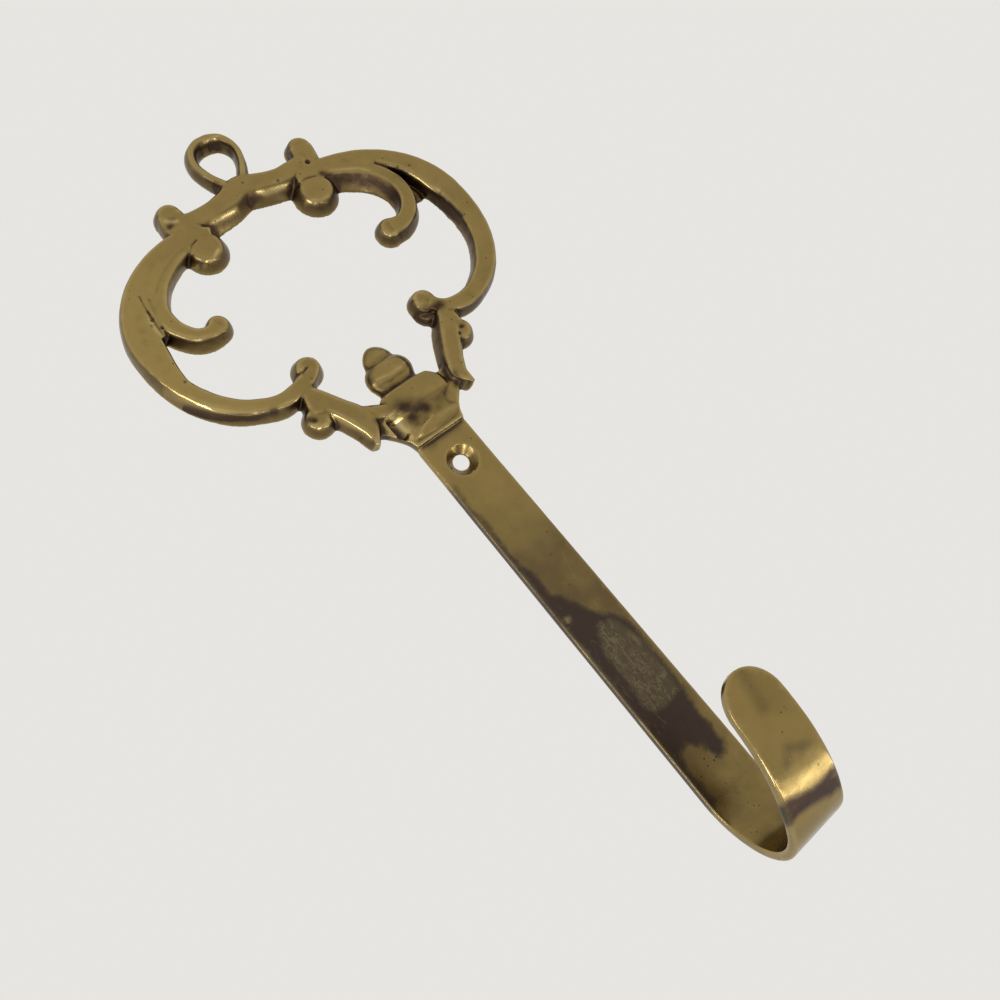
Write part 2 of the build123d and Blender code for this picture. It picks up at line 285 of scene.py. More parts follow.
def armTree():  # each point comes from the route's place and the section's two numbers
    tree, given = geometryTree("castArms", [("Around", "Int"), ("Step", "Float"),
                                            ("Swell", "Float"), ("Metal", "Material")])
    calc = mathsIn(tree)
    line = made(tree, "GeometryNodeMeshToCurve", {"Mesh": given["Geometry"]})
    line = made(tree, "GeometryNodeCurveSplineType", {"Curve": line}, spline_type="CATMULL_ROM")
    line = made(tree, "GeometryNodeSetSplineResolution",
                {"Geometry": line, "Resolution": arms["resolution"]})
    line = made(tree, "GeometryNodeResampleCurve",
                {"Curve": line, "Length": given["Step"]}, mode="LENGTH")
    line = made(tree, "GeometryNodeSetCurveNormal", {"Curve": line, "Normal": toFront}, mode="FREE")
    middle = made(tree, "GeometryNodeInputPosition")
    ahead = made(tree, "GeometryNodeInputTangent")
    across = made(tree, "ShaderNodeVectorMath", {0: ahead, 1: toFront}, operation="CROSS_PRODUCT")
    line = stored(tree, line, "middle", middle, "FLOAT_VECTOR")
    line = stored(tree, line, "across", across, "FLOAT_VECTOR")

    ring = made(tree, "GeometryNodeCurvePrimitiveCircle",
                {"Resolution": given["Around"], "Radius": 1.0})
    place = apartOf(tree, made(tree, "GeometryNodeInputPosition"))
    up = calc("MAXIMUM", place["X"], 0.0)  # flat on the wall side
    ring = stored(tree, ring, "up", up)
    ring = stored(tree, ring, "aside", place["Y"])
    bar = made(tree, "GeometryNodeCurveToMesh",
               {"Curve": line, "Profile Curve": ring, "Scale": mm, "Fill Caps": True})

    bend = calc("DIVIDE", 2.0, attribute(tree, "squareness"))
    aside = attribute(tree, "aside")
    rise = calc("POWER", attribute(tree, "up"), bend)
    reach = calc("POWER", calc("ABSOLUTE", aside), bend)
    reach = calc("MULTIPLY", calc("SIGN", aside), reach)
    onRight = calc("GREATER_THAN", aside, 0.0)
    leftFoot = attribute(tree, "leftFoot")
    wider = calc("SUBTRACT", attribute(tree, "rightFoot"), leftFoot)
    foot = calc("ADD", leftFoot, calc("MULTIPLY", onRight, wider))
    narrower = calc("SUBTRACT", attribute(tree, "face"), foot)
    swell = calc("POWER", rise, given["Swell"])
    halfWidth = calc("ADD", foot, calc("MULTIPLY", swell, narrower))
    wide = calc("MULTIPLY", reach, halfWidth)
    sideways = {0: attribute(tree, "across", "FLOAT_VECTOR"), "Scale": wide}
    sideways = made(tree, "ShaderNodeVectorMath", sideways, operation="SCALE")
    deep = calc("MULTIPLY", rise, attribute(tree, "depth"))
    outwards = together(tree, 0.0, calc("MULTIPLY", deep, -1.0), 0.0)
    moved = attribute(tree, "middle", "FLOAT_VECTOR")
    for way in (sideways, outwards):
        moved = made(tree, "ShaderNodeVectorMath", {0: moved, 1: way}, operation="ADD")
    endTree(tree, placed(tree, bar, moved), given["Metal"])
    return tree


def makeArms():
    routes = [[(x, 0.0, z, face, reach[0], reach[-1], depth, squareness)
               for x, z, face, *reach in route]
              for depth, squareness, route in arms["bars"].values()]
    lengths = ["face", "leftFoot", "rightFoot", "depth"]
    lines = polylines("armLines", routes, lengths, ["squareness"])
    values = {"Around": arms["around"], "Step": arms["step"] * mm, "Swell": arms["swell"],
              "Metal": brass}
    return grown(lines, armTree(), values, "scrollArms")


# Round bosses: bulbs, branch tips, volutes, knobs and horn tips.

bosses = {
    "segments": 56, "rings": 40,
    "squareness": 7,
    "face": 0.68,  # radius of the flat face against that of the foot
    "places": {  # x, z, radius of the foot, depth
        "bulbs": [(-18.5, 87.2, 6.4, 5.4), (17.7, 87.1, 6.9, 5.45)],
        "tips": [(-29.5, 66.3, 4.1, 5.1), (27.8, 66.1, 4.5, 5.1)],
        "volutes": [(-18, 43.5, 4.7, 5.2), (20.9, 42.5, 4.7, 5.1), (20.8, 40.4, 4.5, 3.4)],
        "knobs": [(-24, 30.4, 4.9, 4.9), (23.8, 29.9, 4.6, 4.9)],
        "hornTips": [(-20.9, 100.7, 4.6, 5.1), (22.3, 101, 4.6, 5.1)],
    },
}


def bossTree():
    tree, given = geometryTree("castBosses", [("Squareness", "Float"), ("Face", "Float"),
                                              ("Metal", "Material")])
    calc = mathsIn(tree)
    ball = made(tree, "GeometryNodeMeshUVSphere",
                {"Segments": bosses["segments"], "Rings": bosses["rings"], "Radius": 1.0})
    place = apartOf(tree, made(tree, "GeometryNodeInputPosition"))
    bend = calc("DIVIDE", 2.0, given["Squareness"])
    out = calc("SUBTRACT", 1.0, calc("POWER", place["Z"], 2.0))
    out = calc("SQRT", out)
    rise = calc("POWER", calc("MAXIMUM", place["Z"], 0.0), bend)
    narrowing = calc("MULTIPLY", rise, calc("SUBTRACT", 1.0, given["Face"]))
    narrowing = calc("SUBTRACT", 1.0, narrowing)
    spread = calc("DIVIDE", calc("POWER", out, bend), out)
    spread = calc("MULTIPLY", spread, narrowing)
    shaped = together(tree, calc("MULTIPLY", place["X"], spread), calc("MULTIPLY", rise, -1.0),
                      calc("MULTIPLY", place["Y"], spread))
    radius = attribute(tree, "radius")
    size = together(tree, radius, attribute(tree, "depth"), radius)
    spots = {"Points": given["Geometry"], "Instance": placed(tree, ball, shaped), "Scale": size}
    endTree(tree, made(tree, "GeometryNodeInstanceOnPoints", spots), given["Metal"])
    return tree


def makeBosses():
    spots = [[(x, 0.0, z, radius, depth)]
             for group in bosses["places"].values() for x, z, radius, depth in group]
    points = polylines("bossPoints", spots, ["radius", "depth"])
    values = {"Squareness": bosses["squareness"], "Face": bosses["face"], "Metal": brass}
    return grown(points, bossTree(), values, "roundBosses")


# Strap and J hook: a flat bar swept along one bent line.

strap = {
    "thickness": 2.65, "topWidth": 16, "lowWidth": 17.8, "top": 15, "bendDrop": 107,
    "bendRadius": 17.4, "bendTurn": 135, "tongueRadius": 46, "tongueTurn": 52,
    "tongueWidth": 15, "tipLength": 9, "edgeRounding": 0.55, "edgeSteps": 6,
    "straightSteps": 60, "bendSteps": 135, "tongueSteps": 120,
    "tipNarrowest": 0.004,  # the square of the last row's share of the width
    "sweepWidth": 18,  # of the section before each row's own width is set
    "holeRadius": 2.25, "sinkRadius": 4.6, "holeSides": 64,
    "behind": 2, "beyond": 1,  # how far the hole's cutter stands out on either side
}


def hookLine():  # the middle of the strap's thickness, as y, z and half width
    inset, steps = strap["thickness"] / 2, strap["straightSteps"]
    points = [(-inset, strap["top"] - i * (strap["top"] + strap["bendDrop"]) / steps)
              for i in range(steps + 1)]
    bend, tongue = strap["bendRadius"] - inset, strap["tongueRadius"] - inset
    centre = (-strap["bendRadius"], -strap["bendDrop"])
    for i in range(1, strap["bendSteps"] + 1):
        turn = math.radians(strap["bendTurn"] * i / strap["bendSteps"])
        points.append((centre[0] + bend * math.cos(turn), centre[1] - bend * math.sin(turn)))
    turn = math.radians(strap["bendTurn"])
    away = (math.cos(turn), -math.sin(turn))
    hub = (points[-1][0] - tongue * away[0], points[-1][1] - tongue * away[1])
    for i in range(1, strap["tongueSteps"] + 1):
        more = turn + math.radians(strap["tongueTurn"] * i / strap["tongueSteps"])
        points.append((hub[0] + tongue * math.cos(more), hub[1] - tongue * math.sin(more)))
    low = min(z for y, z in points)
    shoulder = points[-1][1] - strap["tipLength"]
    rows, past = [], False
    for y, z in points:
        past = past or z == low
        if not past:
            down = min(1.0, max(0.0, -z / strap["bendDrop"]))
            width = strap["topWidth"] + (strap["lowWidth"] - strap["topWidth"]) * down
        elif z < shoulder:
            widening = strap["tongueWidth"] - strap["lowWidth"]
            width = strap["lowWidth"] + widening * (z - low) / (shoulder - low)
        else:
            left = 1 - ((z - shoulder) / strap["tipLength"]) ** 2
            width = strap["tongueWidth"] * math.sqrt(max(strap["tipNarrowest"], left))
        rows.append((0.0, y, z, width / 2))
    return rows


def strapTree():
    tree, given = geometryTree("bentStrap", [("Thickness", "Float"), ("Edge Rounding", "Float"),
                                             ("Metal", "Material")])
    calc = mathsIn(tree)
    line = made(tree, "GeometryNodeMeshToCurve", {"Mesh": given["Geometry"]})
    line = made(tree, "GeometryNodeSetCurveNormal",
                {"Curve": line, "Normal": (1, 0, 0)}, mode="FREE")
    plate = made(tree, "GeometryNodeCurvePrimitiveQuadrilateral",
                 {"Width": strap["sweepWidth"] * mm, "Height": given["Thickness"]})
    edge = {"Curve": plate, "Count": strap["edgeSteps"], "Radius": given["Edge Rounding"]}
    plate = made(tree, "GeometryNodeFilletCurve", edge, mode="POLY")
    bar = made(tree, "GeometryNodeCurveToMesh",
               {"Curve": line, "Profile Curve": plate, "Scale": 1.0, "Fill Caps": True})
    place = apartOf(tree, made(tree, "GeometryNodeInputPosition"))
    widening = calc("DIVIDE", attribute(tree, "halfWidth"), strap["sweepWidth"] * mm / 2)
    wide = calc("MULTIPLY", place["X"], widening)
    moved = together(tree, wide, place["Y"], place["Z"])
    endTree(tree, placed(tree, bar, moved), given["Metal"])
    return tree


def makeStrap():
    line = polylines("strapLine", [hookLine()], ["halfWidth"])
    values = {"Thickness": strap["thickness"] * mm, "Edge Rounding": strap["edgeRounding"] * mm,
              "Metal": brass}
    bar = grown(line, strapTree(), values, "strapBar")
    hole, sink, front = strap["holeRadius"], strap["sinkRadius"], -strap["thickness"]
    behind, beyond = strap["behind"], strap["beyond"]
    profile = [(0.0, behind), (hole, behind), (hole, -(strap["thickness"] - (sink - hole))),
               (sink, front), (sink + beyond, front - beyond), (0.0, front - beyond)]
    cutter = turned("screwHoleCutter", strap["holeSides"], profile)
    cut = bar.modifiers.new("screwHole", "BOOLEAN")
    cut.operation, cut.object, cut.solver = "DIFFERENCE", cutter, "EXACT"
    return baked(bar, "strapCut", cutter)


def turned(name, around, profile):  # a closed turned form about the Y axis
    bm = bmesh.new()
    rings, turns = [], [2 * math.pi * i / around for i in range(around)]
    for radius, y in profile:
        r = radius * mm
        if radius == 0.0:
            rings.append([bm.verts.new((0, y * mm, 0))] * around)
        else:
            rings.append([bm.verts.new((r * math.cos(a), y * mm, r * math.sin(a))) for a in turns])
    joinRings(bm, rings, False)
    return closedForm(bm, name)


# Shield and finial.

shield = {
    "side": [(9.2, 8), (12.8, 8.9), (16, 10), (20.2, 10.3), (23.4, 9.6), (25, 8.2),
             (26, 5.6), (26.4, 0.6)],  # height, half width
    "front": [(9.2, 2.65), (9.5, 3), (12.3, 5.2), (12.8, 5.3), (14.2, 4.85), (16.2, 4.7),
              (18.2, 5.2), (19.6, 6.1), (20.5, 6.3), (22.2, 6.1), (24.2, 5.6), (25.8, 5),
              (26.4, 4.3)],  # height, depth
    "crown": 26,
    "rows": 90, "columns": 41,
}

finial = {  # height above the screw hole and radius, from its foot to its tip
    "flatness": 0.68,
    "profile": [(24, 5.6), (26.4, 6.3), (27.4, 6.2), (28.4, 6.6), (29.6, 7.1), (30.6, 7.3),
                (31.6, 7.2), (32.4, 7.1), (33.4, 6.7), (34.4, 5.9), (35.1, 5), (35.7, 4.7),
                (36.6, 4.6), (37.8, 4.1), (39.2, 3.1), (40.3, 1.9), (40.9, 0.8), (41.1, 0.3)],
    "rows": 80, "columns": 41,
}


def smoothly(places, rows):  # a curve through the rows, without the corners of straight pieces
    ats = np.array([row[0] for row in rows])
    values = np.array([row[1] for row in rows])
    slopes = np.gradient(values, ats)
    part = np.clip(np.searchsorted(ats, places) - 1, 0, len(ats) - 2)
    span = ats[part + 1] - ats[part]
    t = (places - ats[part]) / span
    return ((2 * t ** 3 - 3 * t ** 2 + 1) * values[part]
            + (t ** 3 - 2 * t ** 2 + t) * span * slopes[part]
            + (3 * t ** 2 - 2 * t ** 3) * values[part + 1]
            + (t ** 3 - t ** 2) * span * slopes[part + 1])


def makeShield():
    heights = np.linspace(shield["side"][0][0], shield["side"][-1][0], shield["rows"])
    half = smoothly(heights, shield["side"])
    front = smoothly(heights, shield["front"])
    bm = bmesh.new()
    rings = []
    for z, w, deep in zip(heights, half, front):
        row = []
        for x in np.linspace(-1, 1, shield["columns"]) * w:
            bow = shield["crown"] - math.sqrt(shield["crown"] ** 2 - x * x)
            deepest = deep - max(0.0, min(bow, deep - strap["thickness"]))
            row.append(bm.verts.new((x * mm, -deepest * mm, z * mm)))
        rings.append(row + [bm.verts.new((side * w * mm, 0, z * mm)) for side in (1, -1)])
    joinRings(bm, rings)
    return closedForm(bm, "shieldForm")


def makeFinial():
    bm = bmesh.new()
    heights = np.linspace(finial["profile"][0][0], finial["profile"][-1][0], finial["rows"])
    turns = [math.pi * i / (finial["columns"] - 1) for i in range(finial["columns"])]
    flat, rings = -finial["flatness"], []
    for z, r in zip(heights, smoothly(heights, finial["profile"])):
        rings.append([bm.verts.new((r * mm * math.cos(a), flat * r * mm * math.sin(a), z * mm))
                      for a in turns])
    joinRings(bm, rings)
    return closedForm(bm, "finialForm")


# Webs: the lower metal between the legs and the shield.

webs = {
    "depth": 3.7,
    "outline": [(7.9, 9.2), (8.5, 11.3), (9.6, 13.2), (12.6, 16.7), (14.6, 18.2), (13.8, 24),
                (12.4, 24.2), (10.4, 23.6), (7, 24.2), (0, 24), (0, 9.4)],
}


def makeWebs():
    bm = bmesh.new()
    for side in (1, -1):
        joinRings(bm, [[bm.verts.new((side * x * mm, y * mm, z * mm)) for x, z in webs["outline"]]
                       for y in (0, -webs["depth"])])
    return closedForm(bm, "webForms")


# The casting: all forms run together as metal does, then dressed.

casting = {
    "voxel": 0.31, "softening": 4, "mostTriangles": 190000,
    "strapTop": 8.4,  # below this height the strap keeps its own exact surface
    "front": -1.2, "marksFrom": 8,  # marks are sunk in front of this y and above this height
    # Chased and cast marks: depth (less than nothing stands proud), width and route, in mm.
    "grooves": [
        (0.14, 0.25, [(-41.4, 83.4), (-42.1, 79.2)]),
        (0.3, 0.4, [(-42.1, 78.6), (-42.6, 73.6), (-42.8, 70.2)]),
        (0.7, 1, [(-51.4, 58.4), (-50, 54.6), (-48.1, 51), (-45.5, 47.4), (-43, 44.8), (-40, 42.2),
            (-36.4, 39.8)]),
        (0.5, 0.9, [(42.8, 77), (44.2, 74.4), (45.2, 71.6), (46.8, 68)]),
        (0.5, 0.8, [(-21.2, 28.6), (-19.7, 24.8), (-18.1, 21.4), (-17, 18)]),
        (0.12, 0.45, [(13.4, 88.6), (13.9, 90.2), (16.6, 91), (19.6, 90.2)]),
        (0.15, 0.35, [(-19.8, 89.8), (-21.7, 89.2), (-23.2, 87.4), (-23.5, 85.4)]),
        (0.35, 0.35, [(-21.5, 43.7), (-19.9, 42.9), (-18.4, 43.4)]),
        (0.4, 1, [(19.8, 40.2), (21.8, 39), (24, 38.2)]),
        (-0.22, 0.5, [(-7, 11.4), (-4.6, 12.2), (-2.4, 13.2), (0.4, 13.9)]),
        (-0.25, 0.4, [(-7.3, 9.5), (-2.4, 9.4), (3, 9.4), (7.3, 9.4)]),
        (0.2, 0.3, [(-4.4, 34.9), (-1, 34.3), (3.4, 34.6)]),
        (0.3, 0.8, [(-6.4, 29.6), (-2, 28.6), (3, 28.8), (6.2, 30)]),
    ],
    "hollows": [  # x, z, radius, depth
        (-21.9, 98.4, 2.2, 0.6), (-23.6, 97.2, 1.6, 0.5), (20.7, 95.3, 0.7, 0.7),
        (18.2, 39.6, 1.5, 0.4), (-12.4, 18.4, 1.4, 0.5), (12.3, 20.6, 1.6, 0.5),
        (-26, 30.8, 1.1, 0.8), (24.6, 30.6, 1.2, 0.5), (22.5, 28.9, 0.5, 0.4),
        (-6.2, 101.2, 0.8, 0.5), (-10.9, 25.6, 0.7, 0.4), (-42.6, 76.2, 0.6, 0.5),
        (-41.8, 73, 0.5, 0.5), (-43.4, 74.6, 0.5, 0.4), (-20, 83.2, 0.4, 0.3),
        (-45.8, 57, 0.5, 0.3), (-4.4, 16.6, 3.2, 0.7), (42, 81, 0.4, 0.2), (45, 79.4, 0.4, 0.2),
        (1.2, 98.6, 0.35, 0.25), (9.9, 94.4, 0.5, 0.3), (23, 88.8, 1, 0.6),
    ],
    # The slope on the shield's left, how it begins and ends, and the part of the front it cuts.
    "facet": {"fromX": -6, "toX": -9.2, "past": 1.4, "fromZ": 11.9, "toZ": 20.4, "fall": 1.95,
              "lowRamp": 1.8, "highRamp": 1.4, "front": -2.6},
    # The uneven skin is a sum of waves. It is weaker on the strap.
    "skin": {"seed": 7, "height": 0.03, "waves": 40, "lengths": (2.8, 9), "onStrap": 0.3,
             "fadeFrom": 6, "fadeOver": 6},
    # The foot at the wall is smoothed along the wall.
    "foot": {"height": 1.1, "blend": 0.8, "rounds": 14},
}


def runTogether(forms, strapForm):
    bm = bmesh.new()
    for form in forms:
        bm.from_mesh(form.data)
    mesh = bpy.data.meshes.new("forms")
    bm.to_mesh(mesh)
    bm.free()
    piece = newObject("wallHookCasting", mesh)
    merge = piece.modifiers.new("merge", "REMESH")
    merge.mode, merge.voxel_size, merge.adaptivity = "VOXEL", casting["voxel"] * mm, 0.0
    soften = piece.modifiers.new("soften", "SMOOTH")
    soften.factor, soften.iterations = 0.5, casting["softening"]
    piece = baked(piece, "wallHookCasting")
    low = piece.vertex_groups.new(name="low")  # these points go back to the strap's own surface
    top = casting["strapTop"] * mm
    low.add([point.index for point in piece.data.vertices if point.co.z < top], 1.0, "REPLACE")
    fit = piece.modifiers.new("fit", "SHRINKWRAP")
    fit.target, fit.wrap_method, fit.vertex_group = strapForm, "NEAREST_SURFACEPOINT", "low"
    return baked(piece, "wallHookCasting", *forms)


def share(value, start, span):  # 0 before the start, 1 from the end of the span on
    return np.clip((value - start) / span, 0, 1)


def neighbourMean(places, edges, rounds):  # each place moves to its neighbours' mean
    count = np.bincount(edges.ravel(), minlength=len(places))[:, None]
    ends = np.concatenate([edges[:, 0], edges[:, 1]])
    others = np.concatenate([edges[:, 1], edges[:, 0]])
    for _ in range(rounds):
        sides = [np.bincount(ends, places[others, axis], len(places)) for axis in range(3)]
        places = np.stack(sides, 1) / count
    return places


def nearRoute(x, z, route):  # every point's distance to a run of straight pieces
    best = np.full(len(x), 1e9)
    for (ax, az), (bx, bz) in zip(route, route[1:]):
        length = (bx - ax) ** 2 + (bz - az) ** 2
        t = np.clip(((x - ax) * (bx - ax) + (z - az) * (bz - az)) / length, 0, 1)
        best = np.minimum(best, np.hypot(x - ax - t * (bx - ax), z - az - t * (bz - az)))
    return best


def along(x, z, route, width):  # 1 on the route, fading out to both sides
    return np.exp(-(nearRoute(x, z, route) / width) ** 2)


def strongest(x, z, rows):  # of amounts along their routes
    best = np.zeros(len(x))
    for amount, width, route in rows:
        best = np.maximum(best, amount * along(x, z, route, width))
    return best


def patch(x, z, softness, corners):  # 1 inside the corners, 0 outside, soft between
    inside = np.zeros(len(x), dtype=bool)
    closed = [*corners, corners[0]]
    for (ax, az), (bx, bz) in zip(closed, closed[1:]):
        crosses = (az > z) != (bz > z)
        inside ^= crosses & (x < (bx - ax) * (z - az) / (bz - az if bz != az else 1e-9) + ax)
    apart = nearRoute(x, z, closed)
    return np.clip(0.5 + np.where(inside, apart, -apart) / softness / 2, 0, 1)


def sunkMarks(x, y, z):  # how far the marks lie under the plain front
    sunk = np.zeros(len(x))
    for depth, width, route in casting["grooves"]:
        sunk += depth * along(x, z, route, width)
    for hx, hz, radius, depth in casting["hollows"]:
        sunk += depth * np.exp(-((x - hx) ** 2 + (z - hz) ** 2) / radius ** 2)
    facet = casting["facet"]
    sunk += (facet["fall"] * share(x, facet["fromX"], facet["toX"] - facet["fromX"])
             * share(z, facet["fromZ"], facet["lowRamp"])
             * share(z, facet["toZ"], -facet["highRamp"])
             * (y < facet["front"]) * (x > facet["toX"] - facet["past"]))
    return sunk


def unevenness(places, z):
    skin = casting["skin"]
    rng = np.random.default_rng(skin["seed"])
    height = np.zeros(len(places))
    for _ in range(skin["waves"]):
        turn = rng.normal(size=3)
        turn *= 2 * math.pi / (rng.uniform(*skin["lengths"]) * np.linalg.norm(turn))
        height += np.sin(places @ turn + rng.uniform(0, 2 * math.pi))
    above = skin["onStrap"] + (1 - skin["onStrap"]) * share(z, skin["fadeFrom"], skin["fadeOver"])
    amount = skin["height"] * np.clip(-places[:, 1], 0, 1) * above
    return height * amount / math.sqrt(skin["waves"] / 2)


def dress(piece):  # sinks the marks, makes the skin uneven and stores the masks of polish, tarnish, stains, painted highlights and painted shade
    mesh = piece.data
    places, normals = rowsOf(mesh.vertices, "co") / mm, rowsOf(mesh.vertex_normals, "vector")
    x, z = places[:, 0].copy(), places[:, 2].copy()
    front = np.clip(-normals[:, 1], 0, 1) * (places[:, 1] < casting["front"])
    places[:, 1] += sunkMarks(x, places[:, 1], z) * front * (z > casting["marksFrom"])
    places += normals * unevenness(places, z)[:, None]
    edges = rowsOf(mesh.edges, "vertices", 2, np.int64)
    foot = casting["foot"]
    low = share(places[:, 1], -foot["height"], foot["blend"]) * (z > casting["marksFrom"])
    low = low[:, None] * [1.0, 0.0, 1.0]
    for _ in range(foot["rounds"]):
        places = places * (1 - low) + neighbourMean(places, edges, 1) * low
    masks = wearAndLightMasks(places, normals, edges, x, z, front)
    mesh.vertices.foreach_set("co", (places * mm).ravel())
    for name, values in masks.items():
        keptOn(mesh, name, np.clip(values, 0, 1).astype(np.float32))
    mesh.update()
    print("dressed:", {name: round(float(values.mean()), 3) for name, values in masks.items()})


# Wear and painted light: polish and painted highlights on the edges, tarnish with painted shade in
# corners and on the sides, stains with painted dark reflections on the strap and the tongue, and
# the scuffed patch.

wearAndLight = {
    "crestFrom": 8.2, "flankFrom": 9,  # heights where the marks on the crest begin
    "fineRounds": 7, "broadRounds": 68,  # of smoothing, to find edges and inner corners
    "rim": (0.03, 0.1),  # the sharpness where polish shine with painted highlight begins, and over what
    "rimHeights": [(-60, 0.35), (-40, 0.25), (6, 0.25), (9, 0.6)],
    "rimLost": 0.85,  # of the shine, in the painted shade and tarnish of the hollows
    "corner": (0.1, 0.6), "basin": (0.45, 0.7),  # darkening of inner corners and basins, partly tarnish and partly painted shade: the depth that is fully dark, and its amount
    "flankShadeAndTarnish": (4.3, 5), "flankUnderHighlight": 1.4,  # dark sides, partly tarnish and partly painted shade: level, fall towards front and back, and how much painted highlights take away
    "facing": 0.5,  # normals belong to the back above this y, to the front below minus this
    "fleck": (-6.2, -50, 0.5),  # a bright chip: x, z and spread
    "hole": (2.8, 0.7, 0.75),  # the painted shade round the screw hole: radius, width, amount
    "holeTurned": (0.9, 0.5), "holeFront": -0.5,
    "strapDeep": -12, "tongueDeep": -25,  # depths that part the strap from the tongue
    # how dark the tongue's painted dark reflection band is
    "tongueDarkReflection": 0.9,
    # Painted shade and painted dark reflections (shadows) and painted highlights (glints): amount,
    # width and route.
    "shadows": [
        (0.85, 2.1, [(-5.2, 20.4), (-2.4, 18.4), (0.4, 16.8)]),
        (0.9, 0.9, [(21.6, 90), (23.6, 88.4)]),
        (0.95, 1.5, [(17.2, 39.8), (19.5, 38.3), (23.2, 38.8)]),
        (0.7, 1.3, [(40.8, 78.6), (41.8, 74.6), (41.8, 70.6)]),
        (0.9, 0.6, [(43.8, 71), (45.4, 67.6), (46.9, 63.6), (47.4, 58)]),
        (0.9, 0.8, [(-26.4, 31.4), (-25.5, 30.3)]),
        (0.9, 1.1, [(12.4, 24.6), (12, 22), (13, 20), (12.4, 17.6)]),
        (0.8, 0.9, [(-12.6, 21), (-12.9, 16.8)]),
        (0.4, 0.6, [(-42.2, 76.6), (-42.6, 71)]),
        (0.85, 0.5, [(-49.6, 52.4), (-47.1, 48.6), (-44.8, 45.9), (-41.6, 43), (-37.2, 40.1),
            (-32, 38.2)]),
        (0.7, 0.8, [(-5, 102), (-6.6, 101)]),
    ],
    "glints": [
        (1, 0.9, [(-8.9, 19.9), (-7.6, 17.6), (-7.2, 14.6), (-7.7, 12.3)]),
        (0.8, 0.35, [(-7, 11.4), (-4.6, 12.2), (-2.4, 13.2), (0.4, 13.9)]),
        (0.8, 0.4, [(-7.2, 9.5), (-2.4, 9.4), (3, 9.4), (6, 9.4)]),
        (0.7, 0.4, [(24.3, 89.6), (28.2, 87.9), (32, 85.9), (34, 83.8)]),
        (0.9, 0.55, [(-12.5, 93.2), (-8, 92.9), (-4.5, 93.2)]),
        (0.9, 0.5, [(3.4, 94.6), (5.4, 93.5), (12.7, 92.3)]),
        (1, 0.5, [(-20.8, 28.6), (-19.3, 25), (-17.7, 21.8), (-16.6, 18)]),
        (0.9, 0.45, [(-21.8, 83.4), (-19.4, 82.9), (-16.6, 84.4)]),
        (0.9, 0.5, [(12.7, 85.2), (14.3, 84.2), (16.2, 83), (18.8, 83.2)]),
        (0.9, 0.4, [(24.9, 66.2), (26, 64), (27.7, 63.6)]),
        (0.9, 0.5, [(18.3, 43.2), (18.4, 41.8)]),
        (0.9, 0.45, [(-24.2, 85.9), (-23.2, 84.6)]),
        (0.8, 0.4, [(-30.7, 38.2), (-28, 38), (-25.8, 37.3)]),
        (0.8, 0.45, [(-27.3, 30.4), (-25.8, 28), (-23.5, 27.7)]),
        (0.9, 0.4, [(-43, 76.6), (-43.4, 72.6), (-43, 69.4)]),
        (1, 0.6, [(-51, 58.4), (-49.4, 54.5), (-47.4, 51), (-44.8, 47.4), (-42.3, 44.8),
            (-38, 41.4), (-33.8, 39.2)]),
        (0.9, 0.6, [(-23, 99.3), (-20.6, 97.6)]),
        (0.9, 0.5, [(43.4, 77.2), (44.8, 74.4), (45.7, 71.6), (47.2, 68.3)]),
        (0.8, 0.4, [(-4.8, 30.8), (-1, 29.8), (2.4, 30)]),
        (0.9, 0.5, [(0.4, 115.4), (4.9, 114.7)]),
        (0.9, 0.45, [(13.5, 22.7), (12.8, 19.6)]),
        (0.9, 0.45, [(14.1, 16.6), (16.2, 16.7)]),
    ],
    # darker, duller patches on the tongue: amount, width and route
    "tongueDarkPatches": [
        (0.45, 1.5, [(-2.6, -103.4), (-0.4, -101.4), (3.6, -103.8)]),
        (0.3, 1.6, [(2, -81), (0.2, -91)]),
    ],
    # The strap's stain, partly tarnish and partly painted dark reflection, the tongue's painted
    # dark reflection band, and the scuffed patch: softness of the border, corners.
    "stains": [
        (2, [(-10.5, -2), (-7.3, -5), (-6.9, -9.3), (-6.8, -17.4), (-6.5, -23), (-6, -30.5),
            (-4.4, -37.6), (-4.8, -41.4), (-1.5, -47), (2.5, -53.3), (6.2, -57.3), (7.6, -62),
            (7.4, -76), (6.2, -88.9), (6.4, -92.5), (5.7, -99.5), (4, -101.8), (1.6, -100.4),
            (0.2, -96), (-2.7, -92.6), (-5.8, -93.2), (-7.1, -98.4), (-6.4, -107.5),
            (-10.5, -110)]),
        (1.1, [(10, -111.8), (5.5, -112.7), (0.9, -112.7), (-3.7, -111), (-7.1, -109.5),
            (-10, -110.5), (-10, -115), (-5.9, -114.4), (-1, -115.3), (4.3, -117.2), (10, -118.2)]),
    ],
    "scuff": (1.6, [(0, -54.7), (4.3, -57.5), (6, -63), (6.6, -70), (6.2, -77), (5.6, -82),
                    (1.5, -82.7), (-3.8, -82.2), (-6, -78.8), (-4.8, -71.7), (-4.8, -64.6),
                    (-4.5, -61.7), (-2, -57)]),
    # darker down the strap, partly tarnish and partly painted dark reflection: height and amount
    "tarnishAndReflectionFade": [(-124, 0.2), (-106, 0.2), (-92, 0.4), (-46, 0.5), (-30, 0.45), (-20, 0.12), (-8, 0)],
}
